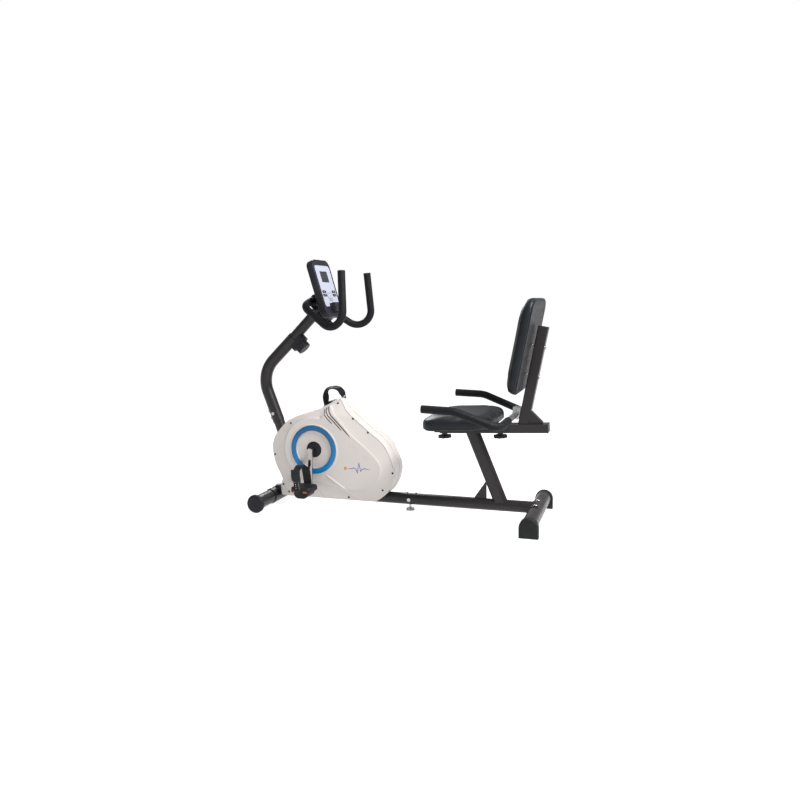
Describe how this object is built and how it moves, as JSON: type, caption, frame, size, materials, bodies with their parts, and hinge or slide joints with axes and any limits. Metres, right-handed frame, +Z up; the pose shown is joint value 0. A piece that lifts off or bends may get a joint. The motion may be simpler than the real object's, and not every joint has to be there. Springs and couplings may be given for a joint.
{
  "type": "exercise bike",
  "caption": "Compact recumbent exercise bike: belt-driven magnetic flywheel in a white cover, sliding seat with backrest and side handles, console on a bent post, transport wheels.",
  "frame": {"origin": "bottom centre of the overall box, on the floor", "axes": "+X to the rear (seat end), +Y to the rider's right, +Z up"},
  "size_m": [1.3504, 0.579, 1.1366],
  "materials": {
    "frame_paint": "metallic charcoal satin",
    "cover_white": "gloss moulded",
    "ring_blue": "gloss metallic blue",
    "black_plastic": "fine moulded grain",
    "grey_plastic": "moulded",
    "foam": "closed-cell foam",
    "vinyl": "grained vinyl",
    "chrome": "polished",
    "steel": "zinc plated",
    "iron": "turned",
    "rubber": "matt",
    "board": "plywood",
    "webbing": "woven nylon",
    "display": "tinted window",
    "face_white": "satin overlay",
    "circuit": "glass-fibre board"
  },
  "bodies": {
    "root": {"bearing_cups": "steel", "carry_strap": "webbing", "console_back_shell": "black_plastic", "console_bezel": "grey_plastic", "console_board": "circuit", "console_display": "display", "console_face": "face_white", "console_post": "frame_paint", "console_stem": "frame_paint", "cover_screws": "black_plastic", "drive_belt": "rubber", "flywheel_axle": "steel", "frame_bolts": "steel", "front_stabilizer": "frame_paint", "handlebar": "steel", "handlebar_clamp": "black_plastic", "handlebar_grips": "foam", "left_cover": "cover_white", "main_frame": "frame_paint", "rear_feet": "rubber", "rear_frame": "frame_paint", "rear_stabilizer": "frame_paint", "right_cover": "cover_white", "ring_trims": "ring_blue", "round_covers": "cover_white", "tension_cable": "rubber", "tension_saddle": "black_plastic", "tube_plugs": "black_plastic"},
    "crank": {"crank": "chrome", "hub_caps": "black_plastic", "drive_pulley": "black_plastic"},
    "pedal_left": {"pedal_left": "black_plastic", "pedal_strap_left": "rubber"},
    "pedal_right": {"pedal_right": "black_plastic", "pedal_strap_right": "rubber"},
    "flywheel": {"flywheel": "iron", "flywheel_pulley": "steel"},
    "idler_arm": {"idler_arm": "steel"},
    "idler_pulley": {"idler_pulley": "black_plastic"},
    "magnet_bracket": {"magnet_bracket": "steel"},
    "tension_knob": {"tension_knob": "black_plastic"},
    "transport_wheel_left": {"transport_wheel_left": "black_plastic"},
    "transport_wheel_right": {"transport_wheel_right": "black_plastic"},
    "leveling_foot": {"leveling_foot": "steel"},
    "seat": {"seat_carriage": "frame_paint", "seat_cushion": "vinyl", "backrest_cushion": "vinyl", "cushion_boards": "board", "seat_bolts": "steel", "side_handle_bar": "steel", "side_handle_grips": "foam", "handle_clamp": "steel", "rail_rear_cap": "black_plastic"},
    "seat_knob_front": {"seat_knob_front": "black_plastic"},
    "seat_knob_rear": {"seat_knob_rear": "black_plastic"},
    "button_up_left": {"button_up_left": "black_plastic"},
    "button_down_left": {"button_down_left": "black_plastic"},
    "button_up_right": {"button_up_right": "black_plastic"},
    "button_down_right": {"button_down_right": "black_plastic"},
    "button_enter": {"button_enter": "face_white"}
  },
  "joints": [
    {"name": "flywheel_spin", "type": "hinge", "parent": "root", "child": "flywheel", "pos_m": [-0.1272, 0, 0.215], "axis": [0, 1, 0], "continuous": true},
    {"name": "crank_spin", "type": "hinge", "parent": "root", "child": "crank", "pos_m": [-0.3777, 0, 0.2808], "axis": [0, 1, 0], "continuous": true},
    {"name": "pedal_left_spin", "type": "hinge", "parent": "crank", "child": "pedal_left", "pos_m": [-0.38468, -0.163, 0.12095], "axis": [0, 1, 0], "continuous": true},
    {"name": "pedal_right_spin", "type": "hinge", "parent": "crank", "child": "pedal_right", "pos_m": [-0.37072, 0.163, 0.44065], "axis": [0, 1, 0], "continuous": true},
    {"name": "idler_swing", "type": "hinge", "parent": "root", "child": "idler_arm", "pos_m": [-0.2892, 0.032, 0.13], "axis": [0, 1, 0], "range_deg": [0, 8], "stiffness_Nm_per_rad": 3, "springref_deg": -17.19},
    {"name": "idler_spin", "type": "hinge", "parent": "idler_arm", "child": "idler_pulley", "pos_m": [-0.2382, 0.042, 0.1706], "axis": [0, 1, 0], "continuous": true},
    {"name": "knob_turn", "type": "hinge", "parent": "root", "child": "tension_knob", "pos_m": [-0.447, 0, 0.74717], "axis": [0.6934, 0, -0.7206], "range_deg": [0, 270]},
    {"name": "magnet_tilt", "type": "hinge", "parent": "root", "child": "magnet_bracket", "pos_m": [-0.2192, -0.02, 0.322], "axis": [0, 1, 0], "range_deg": [0, 5]},
    {"name": "wheel_left_spin", "type": "hinge", "parent": "root", "child": "transport_wheel_left", "pos_m": [-0.6192, -0.192, 0.042], "axis": [0, 1, 0], "continuous": true},
    {"name": "wheel_right_spin", "type": "hinge", "parent": "root", "child": "transport_wheel_right", "pos_m": [-0.6192, 0.192, 0.042], "axis": [0, 1, 0], "continuous": true},
    {"name": "leveling_slide", "type": "slide", "parent": "root", "child": "leveling_foot", "axis": [0, 0, -1], "range_m": [-0.004, 0.011]},
    {"name": "seat_slide", "type": "slide", "parent": "root", "child": "seat", "axis": [0.9992, 0, 0.0393], "range_m": [-0.04, 0.06]},
    {"name": "seat_knob_front_turn", "type": "hinge", "parent": "seat", "child": "seat_knob_front", "pos_m": [0.22661, 0, 0.35529], "axis": [-0.0393, 0, 0.9992], "range_deg": [0, 180]},
    {"name": "seat_knob_rear_turn", "type": "hinge", "parent": "seat", "child": "seat_knob_rear", "pos_m": [0.47242, 0, 0.36495], "axis": [-0.0393, 0, 0.9992], "range_deg": [0, 180]},
    {"name": "button_up_left_press", "type": "slide", "parent": "root", "child": "button_up_left", "axis": [-0.9617, 0, -0.274], "range_m": [0, 0.0015], "stiffness_N_per_m": 300, "springref_m": -0.0005},
    {"name": "button_down_left_press", "type": "slide", "parent": "root", "child": "button_down_left", "axis": [-0.9617, 0, -0.274], "range_m": [0, 0.0015], "stiffness_N_per_m": 300, "springref_m": -0.0005},
    {"name": "button_up_right_press", "type": "slide", "parent": "root", "child": "button_up_right", "axis": [-0.9617, 0, -0.274], "range_m": [0, 0.0015], "stiffness_N_per_m": 300, "springref_m": -0.0005},
    {"name": "button_down_right_press", "type": "slide", "parent": "root", "child": "button_down_right", "axis": [-0.9617, 0, -0.274], "range_m": [0, 0.0015], "stiffness_N_per_m": 300, "springref_m": -0.0005},
    {"name": "button_enter_press", "type": "slide", "parent": "root", "child": "button_enter", "axis": [-0.9617, 0, -0.274], "range_m": [0, 0.0015], "stiffness_N_per_m": 300, "springref_m": -0.0005}
  ],
  "couplings": [
    {"joint": "crank_spin", "follows": "flywheel_spin", "ratio": 0.17611},
    {"joint": "idler_spin", "follows": "flywheel_spin", "ratio": -0.85075},
    {"joint": "magnet_tilt", "follows": "knob_turn", "ratio": 0.018519}
  ]
}
